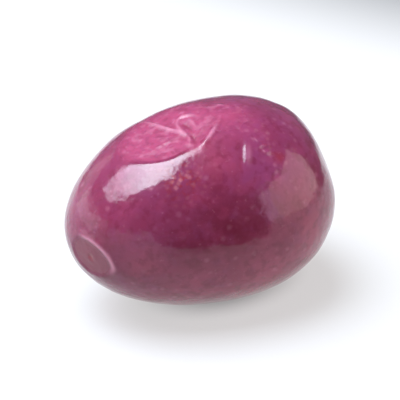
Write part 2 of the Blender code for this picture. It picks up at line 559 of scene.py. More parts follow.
DENT = SunkenPatch(
    place=Place(4.5 * MM, -98.0),
    radii=millimetres(3.9, 3.5, 2.8, 2.5, 2.7, 3.3, 3.8, 3.6, 3.2, 3.0, 3.2, 3.6),
    depth=0.34 * MM,
    lip=0.02 * MM,
    unevenness=0.16,
)

SWELLS = (
    Swell(Place(11.8 * MM, -6.0), 0.18 * MM, 2.6 * MM),
    Swell(Place(-6.2 * MM, -42.0), 0.2 * MM, 2.8 * MM),
    Swell(Place(4.5 * MM, -29.0), -0.14 * MM, 3.0 * MM),
    Swell(Place(13.2 * MM, 46.0), -0.22 * MM, 2.8 * MM),
    Swell(Place(-6.5 * MM, 34.0), 0.1 * MM, 2.6 * MM),
    Swell(Place(9.5 * MM, -140.0), 0.2 * MM, 4.2 * MM),
    Swell(Place(-8.5 * MM, -105.0), -0.22 * MM, 4.0 * MM),
    Swell(Place(-3.0 * MM, -78.0), 0.16 * MM, 3.5 * MM),
    Swell(Place(12.6 * MM, 88.0), 0.12 * MM, 2.6 * MM),
)

STAR = (-2.3, 8.0)  # where the main folds of the hollow meet, written as line() takes it

FOLDS = (
    # In the hollow and along its crisp rim
    Fold(0.22 * MM, 0.25 * MM, line((-4.2, -26.0), (-3.3, -8.0), STAR)),
    Fold(0.14 * MM, 0.22 * MM, line(STAR, (-2.4, 13.5), (-2.8, 18.0))),
    Fold(0.15 * MM, 0.26 * MM, line(STAR, (-2.3, -1.0), (-1.9, -7.0))),
    Fold(0.18 * MM, 0.28 * MM, line((-1.9, -6.0), (-0.9, -8.0), (0.3, -1.5))),
    Fold(0.13 * MM, 0.26 * MM, line((-1.2, -5.0), (-0.8, 0.5), (-1.0, 7.5))),
    Fold(0.17 * MM, 0.34 * MM, line((1.2, 11.0), (-0.2, 17.3), (-2.0, 23.4)), end_share=0.15),
    Fold(0.07 * MM, 0.26 * MM, line((-6.9, 10.0), (-5.1, 6.3), (-3.1, 5.6))),
    Fold(-0.16 * MM, 0.26 * MM, line((-1.9, 9.0), (-2.0, 15.0), (-2.4, 20.0))),
    Fold(-0.14 * MM, 0.28 * MM, line((-1.7, -3.0), (-1.5, 3.0), (-1.6, 9.0))),
    # The crease beyond the hollow: a furrow and the ridge beside it
    Fold(-0.12 * MM, 0.4 * MM, line((2.4, 27.0), (1.4, 37.0), (0.2, 50.0))),
    Fold(0.12 * MM, 0.64 * MM, line((3.0, 28.0), (2.1, 37.0), (1.4, 46.0))),
    # On the top, on the +Y side, and in the dent
    Fold(0.1 * MM, 0.32 * MM, line((2.2, -6.0), (3.0, -2.5), (3.7, 0.0))),
    Fold(-0.18 * MM, 0.5 * MM, line((-9.0, -128.0), (-2.5, -136.0), (4.0, -131.0))),
    Fold(-0.12 * MM, 0.4 * MM, line((-2.0, -88.0), (0.5, -82.0), (2.6, -84.0))),
    Fold(0.12 * MM, 0.36 * MM, line((2.4, -99.0), (4.4, -95.0), (6.6, -98.0))),
)

FINE_FOLDS = (
    # In the hollow and beside it
    Fold(0.03 * MM, 0.18 * MM, line((-5.3, 13.0), (-4.5, 10.8), (-3.4, 11.5))),
    Fold(0.025 * MM, 0.16 * MM, line((-7.2, 16.0), (-5.4, 13.5), (-3.4, 14.0))),
    Fold(0.05 * MM, 0.17 * MM, line((-5.6, -9.0), (-4.6, -2.0), (-3.2, 4.0))),
    Fold(0.07 * MM, 0.17 * MM, line((0.6, 3.0), (-0.3, 9.0), (-1.5, 14.0))),
    Fold(0.06 * MM, 0.18 * MM, line((-0.3, -15.0), (-0.6, -11.0), (-1.6, -8.0))),
    Fold(0.05 * MM, 0.2 * MM, line((-6.4, -13.0), (-5.9, -6.0), (-6.5, 1.0))),
    Fold(0.04 * MM, 0.2 * MM, line((-8.4, -3.0), (-7.4, 4.0), (-7.2, 10.0))),
    Fold(-0.05 * MM, 0.18 * MM, line((-3.9, -16.0), (-3.0, -6.0), (-2.6, 2.0))),
    Fold(-0.03 * MM, 0.18 * MM, line((-5.6, 10.0), (-4.6, 9.0), (-3.2, 12.0))),
    Fold(0.08 * MM, 0.2 * MM, line((1.0, -7.0), (1.9, -4.0), (2.7, 2.0))),
    Fold(0.05 * MM, 0.18 * MM, line((2.2, 5.0), (1.8, 9.0), (1.0, 14.0))),
    Fold(0.06 * MM, 0.2 * MM, line((1.8, -3.5), (2.4, -2.0), (3.2, -3.0))),
    Fold(0.07 * MM, 0.18 * MM, line((2.0, 3.0), (2.5, 2.5), (2.9, 4.5))),
    # In the dent and beside the furrow on the +Y side
    Fold(0.05 * MM, 0.2 * MM, line((3.6, -101.0), (4.6, -103.0), (5.9, -101.0))),
    Fold(0.05 * MM, 0.2 * MM, line((2.9, -92.0), (4.1, -89.0), (5.4, -91.0))),
    Fold(-0.05 * MM, 0.22 * MM, line((-7.5, -121.0), (-4.0, -125.0), (-0.5, -123.0))),
    # Beside the upper end of the crease
    Fold(0.12 * MM, 0.18 * MM, line((3.3, 27.5), (3.7, 30.0), (3.9, 32.0))),
    Fold(0.12 * MM, 0.18 * MM, line((3.5, 35.0), (4.1, 34.3), (4.8, 35.5))),
    Fold(0.12 * MM, 0.18 * MM, line((3.8, 35.5), (4.0, 37.5), (4.4, 39.5))),
)


@dataclass(frozen=True)
class Wobble:
    """The skin's own unevenness over the whole fruit, down to the size of its pores.

    The skin is drawn tight along the hollow's crisp rim, so that little of it shows there.
    """

    layers: tuple[tuple[Grain, float], ...] = (
        (Grain(4.2 * MM, 11), 0.05 * MM),
        (Grain(1.7 * MM, 12), 0.026 * MM),
        (Grain(0.6 * MM, 13), 0.015 * MM),
    )
    tightness: float = 0.75
    tight_place: float = 1.18
    tight_width: float = 0.2

    def height(self, points: np.ndarray) -> np.ndarray:
        """The sum of each noise times its rise, less a share of it along the rim.

        Args:
            points: points of the plain form.

        Returns:
            How far the skin stands out at each point.
        """
        share, crisp = HOLLOW.share(points)
        loose = 1.0 - self.tightness * crisp * bell(share - self.tight_place, self.tight_width)
        return loose * sum(rise * grain.value(points) for grain, rise in self.layers)


@dataclass(frozen=True)
class Shrivel:
    """Fine wrinkles where the skin is loose: creased noise, strongest in the hollow."""

    grain: Grain = Grain(0.7 * MM, 31)
    rise: float = 0.016 * MM
    dent_share: float = 0.45

    def looseness(self, points: np.ndarray) -> np.ndarray:
        """How loose the skin is in the hollow and, to a smaller share, in the dent."""
        return HOLLOW.looseness(points) + self.dent_share * DENT.looseness(points)

    def height(self, points: np.ndarray) -> np.ndarray:
        """One minus twice the noise's size, so that its zero lines stand up as thin ridges."""
        creases = 1.0 - 2.0 * np.abs(self.grain.value(points))
        return self.rise * creases * self.looseness(points)


class Number:
    """A shader value that varies over the surface. Python's operators on it add Math nodes."""

    def __init__(self, graph: "Graph", socket: bpy.types.NodeSocket) -> None:
        """Wraps one output socket of the graph."""
        self.graph = graph
        self.socket = socket

    def join(self, operation: str, first: Any, second: Any) -> "Number":
        """The result of one Math node on two values."""
        node = self.graph.add("ShaderNodeMath", {"operation": operation}, {0: first, 1: second})
        return Number(self.graph, node.outputs[0])

    def __add__(self, other: "Number | float") -> "Number":
        """Self plus other."""
        return self.join("ADD", self, other)

    def __radd__(self, other: float) -> "Number":
        """Other plus self."""
        return self.join("ADD", other, self)

    def __rsub__(self, other: float) -> "Number":
        """Other minus self."""
        return self.join("SUBTRACT", other, self)

    def __mul__(self, other: "Number | float") -> "Number":
        """Self times other."""
        return self.join("MULTIPLY", self, other)

    def __rmul__(self, other: float) -> "Number":
        """Other times self."""
        return self.join("MULTIPLY", other, self)

    def step(self, low: float, high: float) -> "Number":
        """A soft step of this value.

        Args:
            low: the value at which the step starts from 0.
            high: the value at which it reaches 1.

        Returns:
            The stepped value.
        """
        settings = {"interpolation_type": "SMOOTHSTEP"}
        inputs = {"Value": self, "From Min": low, "From Max": high}
        node = self.graph.add("ShaderNodeMapRange", settings, inputs)
        return Number(self.graph, node.outputs["Result"])


class Graph:
    """The node tree of one material, built on its Principled shader."""

    def __init__(self, name: str) -> None:
        """Makes the material, and keeps its tree, its shader and the object's own coordinates.

        Args:
            name: the material's name.
        """
        self.material = bpy.data.materials.new(name)
        self.material.use_nodes = True
        self.tree = self.material.node_tree
        self.shader = self.tree.nodes["Principled BSDF"]
        self.place = self.add("ShaderNodeTexCoord", {}, {}).outputs["Object"]

    def add(self, kind: str, settings: dict[str, Any], inputs: dict[Any, Any]) -> bpy.types.Node:
        """Adds one node.

        Args:
            kind: the node's type.
            settings: its properties, which are set first.
            inputs: what feed takes, for each of its input sockets that is set.

        Returns:
            The node.
        """
        node = self.tree.nodes.new(kind)
        for name, value in settings.items():
            setattr(node, name, value)
        for name, value in inputs.items():
            self.feed(node.inputs[name], value)
        return node

    def feed(self, socket: bpy.types.NodeSocket, value: Any) -> None:
        """Links an input to what varies, or sets it to a plain value.

        Args:
            socket: the input.
            value: a Number or a socket to link, or else a number, a vector or a colour.
        """
        if isinstance(value, Number):
            value = value.socket
        if isinstance(value, bpy.types.NodeSocket):
            self.tree.links.new(value, socket)
        elif socket.type == "RGBA":
            socket.default_value = (*value, 1.0)
        else:
            socket.default_value = value

    def noise(self, size: float, detail: float = 2.0) -> Number:
        """Noise in space.

        Args:
            size: about how large its features are, in metres.
            detail: how many finer layers are added.

        Returns:
            One value for each point, from 0 to 1 and mostly near one half.
        """
        inputs = {"Vector": self.place, "Scale": 1.0 / size, "Detail": detail}
        return Number(self, self.add("ShaderNodeTexNoise", {}, inputs).outputs[0])

    def vectors(self, operation: str, *values: Any) -> bpy.types.Node:
        """One Vector Math node on the given vectors."""
        return self.add("ShaderNodeVectorMath", {"operation": operation}, dict(enumerate(values)))

    def mask(self, name: Mask) -> Number:
        """The value of that name that the mesh carries."""
        settings = {"attribute_type": "GEOMETRY", "attribute_name": name.value}
        return Number(self, self.add("ShaderNodeAttribute", settings, {}).outputs["Fac"])

    def paint(self, ground: Any, *layers: tuple[Number, Colour]) -> bpy.types.NodeSocket:
        """A ground with colours laid over it, one after the other.

        Args:
            ground: a colour or the socket of one.
            layers: how much of each colour shows, and the colour.

        Returns:
            The socket of the colour that comes out.
        """
        for share, colour in layers:
            inputs = {0: share, 6: ground, 7: colour}
            ground = self.add("ShaderNodeMix", {"data_type": "RGBA"}, inputs).outputs[2]
        return ground

    def finish(self, inputs: dict[str, Any]) -> bpy.types.Material:
        """Feeds the shader.

        Args:
            inputs: what feed takes, for each of the shader's sockets that is set.

        Returns:
            The material.
        """
        for name, value in inputs.items():
            self.feed(self.shader.inputs[name], value)
        return self.material


@dataclass(frozen=True)
class Mottle:
    """Uneven patches: noise of one size, which shows from a low value and fully from a high one."""

    strength: float
    size: float
    detail: float
    low: float
    high: float

    def share(self, graph: Graph) -> Number:
        """The strength on the patches, and nothing between them."""
        return self.strength * graph.noise(self.size, self.detail).step(self.low, self.high)


@dataclass(frozen=True)
class Lenticels:
    """The tiny pale dots of the skin: the middles of scattered cells, fainter or left out by chance.

    A dot is full as far as the core and gone at the rim, both shares of its radius. Each cell
    draws a chance from 0 to 1. Its dot is full below the sure share of kept, and gone above kept.
    """

    spacing: float
    radius: float
    kept: float
    sure: float = 0.2
    core: float = 0.2
    rim: float = 1.2
    waver: float = 0.12 * MM

    def share(self, graph: Graph) -> Number:
        """Up to one on each dot, falling off softly towards a rim that noise makes uneven.

        Args:
            graph: the material's node tree.

        Returns:
            The value.
        """
        noise = graph.add("ShaderNodeTexNoise", {}, {"Vector": graph.place, "Scale": 1.0 / self.radius})
        # The noise stays near one half, so twice the waver moves an edge by about the waver.
        waver = Vector([2.0 * self.waver] * 3)
        moved = graph.vectors("MULTIPLY_ADD", noise.outputs["Color"], waver, graph.place)
        inputs = {"Vector": moved.outputs[0], "Scale": 1.0 / self.spacing}
        cells = graph.add("ShaderNodeTexVoronoi", {"feature": "F1"}, inputs)
        split = graph.add("ShaderNodeSeparateColor", {}, {"Color": cells.outputs["Color"]})
        distance = Number(graph, cells.outputs["Distance"])
        chance = Number(graph, split.outputs[0])
        edge = self.radius / self.spacing
        inside = 1.0 - distance.step(self.core * edge, self.rim * edge)
        return inside * (1.0 - chance.step(self.sure * self.kept, self.kept))


@dataclass(frozen=True)
class OliveSkin:
    """The finish of the skin: moist, glossy, wine purple, pinker where it is loose."""

    # Colours
    magenta: Colour = (0.165, 0.021, 0.064)
    violet: Colour = (0.182, 0.028, 0.092)
    wine: Colour = (0.116, 0.007, 0.028)
    # The blush colour also paints light onto patches that lie in shade
    blush_and_painted_light: Colour = (0.250, 0.036, 0.080)
    pink: Colour = (0.290, 0.041, 0.105)
    # pale also paints highlights on the folds' crests and along part of the scar's rim
    pale: Colour = (0.480, 0.190, 0.280)
    amber: Colour = (0.500, 0.185, 0.200)
    # deep also paints shade into the furrows
    deep: Colour = (0.190, 0.017, 0.048)
    scar: Colour = (0.185, 0.036, 0.066)
    rust: Colour = (0.230, 0.018, 0.030)

    # Mottling of the ground
    pink_mottle: Mottle = Mottle(0.35, 1.8 * MM, 4.0, 0.45, 0.72)
    wine_mottle: Mottle = Mottle(0.45, 3.6 * MM, 4.0, 0.45, 0.68)
    violet_mottle: Mottle = Mottle(0.35, 1.5 * MM, 1.5, 0.5, 0.72)
    small_wine_mottle: Mottle = Mottle(0.5, 1.0 * MM, 2.0, 0.46, 0.7)

    # Loose skin and its folds, with painted shade in the furrows and painted highlights on the crests
    even_pink: float = 0.5
    streaks: Mottle = Mottle(0.5, 0.7 * MM, 3.0, 0.3, 0.6)
    loose_shadows: Mottle = Mottle(0.3, 1.5 * MM, 2.0, 0.46, 0.66)
    loose_lights: Mottle = Mottle(0.2, 0.9 * MM, 1.0, 0.52, 0.7)
    furrow_shade_strength: float = 0.6
    crest_highlight_strength: float = 0.5

    # Marks, dots and the scar
    rust_strength: float = 0.5
    rust_specks: Mottle = Mottle(0.6, 0.5 * MM, 2.0, 0.5, 0.62)
    flecks: Mottle = Mottle(0.1, 0.45 * MM, 2.0, 0.64, 0.76)
    dotted_areas: Mottle = Mottle(0.2, 3.0 * MM, 1.0, 0.35, 0.6)
    dots: Lenticels = Lenticels(1.3 * MM, 0.36 * MM, 1.0)
    crowded_strength: float = 0.45
    crowded_dots: Lenticels = Lenticels(0.66 * MM, 0.32 * MM, 1.2)
    # The scar's pale rim, partly a painted highlight
    scar_rim_and_highlight_strength: float = 0.9
    socket_strength: float = 0.55

    # Pores and grain of the surface
    pore_size: float = 0.42 * MM
    pore_depth: float = 0.014 * MM
    speckled_depth: float = 0.02 * MM
    grain_size: float = 0.16 * MM
    grain_depth: float = 0.002 * MM
    dot_height: float = 0.003 * MM

    # Gloss, and how deep red, green and blue light go into the flesh
    roughness: float = 0.14
    roughness_spread: float = 0.08
    spread_size: float = 0.9 * MM
    loose_roughness: float = 0.18
    scar_roughness: float = 0.15
    index: float = 1.4
    coat: float = 0.4
    coat_loss: float = 0.7
    coat_roughness: float = 0.06
    coat_index: float = 1.36
    translucency: float = 0.15
    light_depth: float = 0.6 * MM
    light_depth_shares: tuple[float, float, float] = (1.0, 0.25, 0.2)

    def ground(self, graph: Graph) -> bpy.types.NodeSocket:
        """The colours that lie under everything: broad areas, then mottling of four sizes.

        Args:
            graph: the material's node tree.

        Returns:
            The socket of the ground's colour.
        """
        return graph.paint(
            self.magenta,
            (graph.mask(Mask.WINE_TONE), self.wine),
            (graph.mask(Mask.VIOLET), self.violet),
            (graph.mask(Mask.BLUSH_AND_PAINTED_LIGHT), self.blush_and_painted_light),
            (self.pink_mottle.share(graph), self.pink),
            (self.wine_mottle.share(graph), self.wine),
            (self.violet_mottle.share(graph), self.violet),
            (self.small_wine_mottle.share(graph), self.wine),
        )

    def colour(self, graph: Graph) -> bpy.types.NodeSocket:
        """The ground, then loose skin, painted highlights on crests, painted shade in furrows, marks and
        dots, and the scar.

        Args:
            graph: the material's node tree.

        Returns:
            The socket of the skin's colour.
        """
        loose = graph.mask(Mask.LOOSE)
        speckled = graph.mask(Mask.SPECKLED)
        return graph.paint(
            self.ground(graph),
            (loose * (self.even_pink + self.streaks.share(graph)), self.pink),
            (loose * self.loose_shadows.share(graph), self.deep),
            (loose * self.loose_lights.share(graph), self.pale),
            # Painted shade darkens the furrows and a painted highlight lightens the crests of the folds
            (self.furrow_shade_strength * graph.mask(Mask.FURROW_SHADE), self.deep),
            (self.crest_highlight_strength * graph.mask(Mask.CREST_HIGHLIGHT), self.pale),
            (self.rust_strength * graph.mask(Mask.RUST), self.rust),
            (speckled * self.rust_specks.share(graph), self.rust),
            (self.flecks.share(graph), self.pale),
            (self.dotted_areas.share(graph) * self.dots.share(graph), self.pale),
            (self.crowded_strength * speckled * self.crowded_dots.share(graph), self.amber),
            (graph.mask(Mask.SCAR), self.scar),
            # The scar's pale torn rim, partly a painted highlight
            (self.scar_rim_and_highlight_strength * graph.mask(Mask.SCAR_RIM_AND_HIGHLIGHT), self.pale),
            (self.socket_strength * graph.mask(Mask.SOCKET), self.rust),
        )

    def bump(self, graph: Graph) -> bpy.types.NodeSocket:
        """Pores like orange peel, finer grain between them, and each pale dot a little proud.

        Args:
            graph: the material's node tree.

        Returns:
            The socket of the shading normal.
        """
        pore_depth = self.pore_depth + self.speckled_depth * graph.mask(Mask.SPECKLED)
        pores = pore_depth * graph.noise(self.pore_size, 0.0)
        grain = self.grain_depth * graph.noise(self.grain_size, 1.0)
        height = pores + grain + self.dot_height * self.dots.share(graph)
        node = graph.add("ShaderNodeBump", {}, {"Strength": 1.0, "Distance": 1.0, "Height": height})
        return node.outputs["Normal"]

    def material(self) -> bpy.types.Material:
        """The finish as a material: duller on loose skin and on the scar, glossy elsewhere.

        Returns:
            The material.
        """
        graph = Graph("olive skin")
        loose = graph.mask(Mask.LOOSE)
        roughness = self.roughness + self.roughness_spread * graph.noise(self.spread_size)
        dull = self.loose_roughness * loose + self.scar_roughness * graph.mask(Mask.SCAR)
        inputs = {
            "Base Color": self.colour(graph),
            "Roughness": roughness + dull,
            "Coat Weight": self.coat * (1.0 - self.coat_loss * loose),
            "Normal": self.bump(graph),
            "IOR": self.index,
            "Coat Roughness": self.coat_roughness,
            "Coat IOR": self.coat_index,
            "Subsurface Weight": self.translucency,
            "Subsurface Radius": self.light_depth_shares,
            "Subsurface Scale": self.light_depth,
        }
        return graph.finish(inputs)


@dataclass(frozen=True)
class Tone:
    """One soft area of a colour on the skin."""

    mask: Mask
    place: Place
    reach: float
    strength: float = 1.0

    def value(self, points: np.ndarray) -> np.ndarray:
        """A bell by the distance from the place."""
        return self.strength * bell(BODY.distances(self.place, points), self.reach)


TONES = (
    Tone(Mask.VIOLET, Place(6.5 * MM, 12.0), 6.0 * MM),
    Tone(Mask.VIOLET, Place(3.0 * MM, 46.0), 3.2 * MM),
    Tone(Mask.VIOLET, Place(-1.0 * MM, -75.0), 6.5 * MM, 0.9),
    Tone(Mask.VIOLET, Place(8.0 * MM, -150.0), 5.5 * MM, 0.8),
    # Darker wine areas: in the middle of the -Y side, on the +Y side and underneath
    Tone(Mask.WINE_TONE, Place(-1.5 * MM, 76.0), 5.5 * MM),
    Tone(Mask.WINE_TONE, Place(9.5 * MM, -88.0), 5.0 * MM, 0.8),
    Tone(Mask.WINE_TONE, Place(-6.0 * MM, -140.0), 6.0 * MM, 0.9),
    Tone(Mask.WINE_TONE, Place(4.0 * MM, 175.0), 6.0 * MM, 0.9),
    Tone(Mask.BLUSH_AND_PAINTED_LIGHT, Place(2.0 * MM, 118.0), 5.5 * MM),
    Tone(Mask.BLUSH_AND_PAINTED_LIGHT, Place(-1.4 * MM, 36.0), 2.2 * MM, 0.8),
    # Painted light: lightens the -Y side towards the tip, standing in for light that the floor's shade
    # keeps off
    Tone(Mask.BLUSH_AND_PAINTED_LIGHT, Place(7.2 * MM, 92.0), 4.4 * MM),
    Tone(Mask.BLUSH_AND_PAINTED_LIGHT, Place(-5.5 * MM, 116.0), 5.0 * MM, 0.7),
    Tone(Mask.BLUSH_AND_PAINTED_LIGHT, Place(-10.5 * MM, 96.0), 2.4 * MM, 0.8),
    Tone(Mask.BLUSH_AND_PAINTED_LIGHT, Place(-1.6 * MM, 22.0), 1.5 * MM, 0.9),
    # Painted light: with the loose patch at the same place, lightens the hollow's rim wall, which lies in
    # shade
    Tone(Mask.BLUSH_AND_PAINTED_LIGHT, Place(-2.6 * MM, 23.0), 1.0 * MM),
    Tone(Mask.BLUSH_AND_PAINTED_LIGHT, Place(-13.0 * MM, 40.0), 4.0 * MM, 0.4),
    Tone(Mask.BLUSH_AND_PAINTED_LIGHT, Place(-2.0 * MM, -175.0), 5.0 * MM, 0.6),
    Tone(Mask.BLUSH_AND_PAINTED_LIGHT, Place(12.0 * MM, -120.0), 3.5 * MM, 0.6),
    Tone(Mask.LOOSE, Place(2.2 * MM, 8.0), 2.9 * MM),
    Tone(Mask.LOOSE, Place(-8.6 * MM, -12.0), 2.6 * MM, 0.3),
    Tone(Mask.LOOSE, Place(-0.3 * MM, 17.0), 1.3 * MM, 0.6),
    # Painted light: pinker loose skin that lightens the hollow's shaded rim wall
    Tone(Mask.LOOSE, Place(-2.5 * MM, 22.0), 1.0 * MM, 0.9),
    Tone(Mask.SPECKLED, Place(-5.4 * MM, 38.0), 1.9 * MM),
    Tone(Mask.SPECKLED, Place(4.6 * MM, 34.0), 1.2 * MM, 0.4),
    Tone(Mask.RUST, Place(5.5 * MM, 43.0), 0.65 * MM),
    Tone(Mask.SOCKET, StemScar.place, 0.42 * MM),
)


@dataclass(frozen=True)
class Olive:
    """The whole fruit: one closed skin on a grid that is drawn close where the detail lies."""

    meridians: int = 400
    rings: int = 246
    crowd_to_stem: float = 0.28
    crowd_to_hollow: float = 0.38
    press: float = 0.05 * MM
    crest_heights: tuple[float, float] = (0.04 * MM, 0.18 * MM)
    furrow_depths: tuple[float, float] = (0.02 * MM, 0.12 * MM)
    scar: StemScar = StemScar()
    dimple: TipDimple = TipDimple()
    pit: Pit = Pit()
    wobble: Wobble = Wobble()
    shrivel: Shrivel = Shrivel()
    skin: OliveSkin = OliveSkin()

    def features(self) -> tuple[Relief, ...]:
        """Everything that lifts or sinks the skin."""
        single = (HOLLOW, DENT, self.scar, self.dimple, self.pit)
        return single + SWELLS + FOLDS + FINE_FOLDS + (self.wobble, self.shrivel)

    def sphere(self) -> np.ndarray:
        """The unit sphere as a grid of turn and polar angle about the stem scar.

        Each angle t becomes t - crowd * sin(t), which draws the lines towards the scar and
        towards the hollow. The first and last rows are the two poles.

        Returns:
            One point in each row: the near pole, the rings in order, and the far pole.
        """
        pole = BODY.on_sphere(self.scar.place.x, self.scar.place.around)[0]
        hollow = BODY.on_sphere(HOLLOW.place.x, HOLLOW.place.around)[0]
        sideways = hollow - hollow @ pole * pole
        sideways /= np.linalg.norm(sideways)
        polar = np.linspace(0.0, pi, self.rings + 2)[1:-1, None]
        turn = np.linspace(0.0, 2.0 * pi, self.meridians, endpoint=False)[None, :]
        polar = polar - self.crowd_to_stem * np.sin(polar)
        turn = turn - self.crowd_to_hollow * np.sin(turn)
        grid = np.stack(
            [np.sin(polar) * np.cos(turn), np.sin(polar) * np.sin(turn), np.cos(polar) + 0 * turn],
            axis=-1,
        )
        rows = grid.reshape(-1, 3) @ np.array([sideways, np.cross(pole, sideways), pole])
        return np.vstack([pole, rows, -pole])

    def faces(self) -> list[list[int]]:
        """Triangles round both poles and four-sided faces between the rings, facing out.

        Returns:
            The numbers of each face's corners, among the rows of the sphere.
        """
        ring = np.arange(self.meridians)
        after = np.roll(ring, -1)
        first = 1
        last = first + (self.rings - 1) * self.meridians
        far = first + self.rings * self.meridians
        start = first + np.arange(self.rings - 1)[:, None] * self.meridians
        corners = (
            start + ring,
            start + ring + self.meridians,
            start + after + self.meridians,
            start + after,
        )
        quads = np.stack(corners, axis=-1).reshape(-1, 4)
        near_cap = np.stack([np.zeros_like(ring), first + ring, first + after], axis=-1)
        far_cap = np.stack([np.full_like(ring, far), last + after, last + ring], axis=-1)
        return near_cap.tolist() + quads.tolist() + far_cap.tolist()

    def pressed(self, points: np.ndarray) -> np.ndarray:
        """The points moved to the frame, and those under the resting plane pressed up to it.

        A height z becomes half of z plus the root of z squared and the press squared, which is z
        well above the plane and nothing well below it, with a soft bend between.

        Args:
            points: points about the fruit's middle.

        Returns:
            The points in the frame's place.
        """
        placed = points - BODY.resting_point()
        height = placed[:, 2]
        placed[:, 2] = 0.5 * (height + np.sqrt(height**2 + self.press**2))
        return placed

    def masks(self, points: np.ndarray, crests: np.ndarray) -> dict[Mask, np.ndarray]:
        """The values that the finish reads.

        Args:
            points: points of the plain form.
            crests: how far the folds lift the skin at each point.

        Returns:
            One value for each point under each mask's name.
        """
        values = {mask: np.zeros(len(points)) for mask in Mask}
        for tone in TONES:
            values[tone.mask] = np.maximum(values[tone.mask], tone.value(points))
        values[Mask.LOOSE] = np.maximum(values[Mask.LOOSE], self.shrivel.looseness(points))
        # Where the painted highlight and the painted shade go, by the folds' heights
        values[Mask.CREST_HIGHLIGHT] = smooth_step(*self.crest_heights, crests)
        values[Mask.FURROW_SHADE] = smooth_step(*self.furrow_depths, -crests)
        values[Mask.SCAR] = self.scar.floor(points)
        values[Mask.SCAR_RIM_AND_HIGHLIGHT] = self.scar.rim(points)
        return values

    def build(self) -> bpy.types.Object:
        """The fruit's mesh, with its masks.

        Returns:
            The object, at the origin.
        """
        sphere = self.sphere()
        plain = BODY.points(sphere)
        crests = sum(fold.height(plain) for fold in FOLDS + FINE_FOLDS)
        relief = sum(feature.height(plain) for feature in self.features())
        points = self.pressed(plain + BODY.normals(sphere) * relief[:, None])
        mesh = bpy.data.meshes.new("olive skin")
        mesh.from_pydata(points, [], self.faces())
        mesh.shade_smooth()
        for name, values in self.masks(plain, crests).items():
            attribute = mesh.attributes.new(name.value, "FLOAT", "POINT")
            attribute.data.foreach_set("value", values.astype(np.float32))
        piece = bpy.data.objects.new("olive_skin", mesh)
        bpy.context.scene.collection.objects.link(piece)
        return piece

    def dress(self, piece: bpy.types.Object) -> None:
        """Gives the fruit its finish, and fixes it to the frame in the plain solid's place.

        Args:
            piece: the fruit's object.
        """
        piece.data.materials.append(self.skin.material())
        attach(piece, "root")
        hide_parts("olive")


CAMERA_TURN = radians(-30.0)
CAMERA_RISE = radians(30.0)


def seen(right: float, away: float, up: float) -> Vector:
    """A place that is given as the camera sees it.

    Args:
        right: how far it is to the camera's right of the origin.
        away: how far it is beyond the origin.
        up: how far it is above the floor.

    Returns:
        The place in the frame.
    """
    return Matrix.Rotation(CAMERA_TURN, 3, "Z") @ Vector((right, away, up))


@dataclass(frozen=True)
class Softbox:
    """A large soft light: its middle as the camera sees it, its two sizes and its brightness.

    It shines at the place that it is turned towards, which is also given as the camera sees it.
    """

    name: str
    middle: tuple[float, float, float]
    width: float
    height: float
    radiance: float
    towards: tuple[float, float, float] = (0.0, 0.0, 0.0)
    colour: Colour = WHITE

    def build(self) -> None:
        """Adds the light, with the power that gives its face the stated radiance."""
        light = bpy.data.lights.new(self.name, "AREA")
        light.shape = "RECTANGLE"
        light.size = self.width
        light.size_y = self.height
        light.energy = self.radiance * pi * self.width * self.height
        light.color = self.colour
        lamp = bpy.data.objects.new(self.name, light)
        lamp.location = seen(*self.middle)
        back = Vector(self.middle) - Vector(self.towards)
        turn = Matrix.Rotation(CAMERA_TURN, 3, "Z") @ back.to_track_quat("Z", "Y").to_matrix()
        lamp.rotation_euler = turn.to_euler()
        lamp.visible_camera = False
        bpy.context.scene.collection.objects.link(lamp)


WINDOW_HEIGHT = 1.5
BLUE: Colour = (0.8, 0.9, 1.0)
LILAC: Colour = (0.85, 0.86, 1.0)
COOL: Colour = (0.94, 0.93, 1.0)
ROSE: Colour = (1.0, 0.72, 0.7)
MAUVE: Colour = (0.9, 0.68, 0.94)


def pane(
    name: str, right: float, away: float, width: float, height: float, radiance: float, colour: Colour
) -> Softbox:
    """One part of the window overhead, which faces straight down.

    Args:
        name: which part it is.
        right: its middle's place to the camera's right.
        away: its middle's place away from the camera.
        width: its size from the camera's left to its right.
        height: its size away from the camera.
        radiance: how bright its face is.
        colour: its light's colour.

    Returns:
        The light.
    """
    middle = (right, away, WINDOW_HEIGHT)
    return Softbox(f"window, {name}", middle, width, height, radiance, (right, away, 0.0), colour)


LIGHTS = (
    pane("right strip", -0.048, 0.21, 0.145, 0.48, 17.0, BLUE),
    pane("near strip", -0.04, -0.23, 0.16, 0.4, 7.0, BLUE),
    pane("middle strip", -0.225, 0.0, 0.21, 1.02, 17.0, BLUE),
    pane("wide pane", -0.555, 0.04, 0.45, 1.2, 17.0, BLUE),
    pane("second pane", -0.95, 0.08, 0.34, 1.46, 12.0, LILAC),
    pane("third pane", -1.27, 0.08, 0.3, 1.4, 8.4, LILAC),
    pane("last pane", -1.61, 0.08, 0.38, 1.3, 5.8, LILAC),
    Softbox("left wall", (-1.0, 0.06, 0.17), 1.2, 0.34, 1.4, colour=COOL),
    Softbox("left wall's glow", (-1.03, 0.18, 0.26), 2.4, 0.52, 0.7),
    Softbox("right wall", (0.1286, -0.0232, 0.053), 0.131, 0.105, 2.7, (-0.841, -0.265, 0.053), ROSE),
    Softbox("right wall's end", (0.1496, -0.108, 0.053), 0.045, 0.105, 2.6, (-0.82, -0.35, 0.053), MAUVE),
    Softbox("front wall", (-0.45, -0.89, 0.11), 0.8, 0.22, 0.75),
)


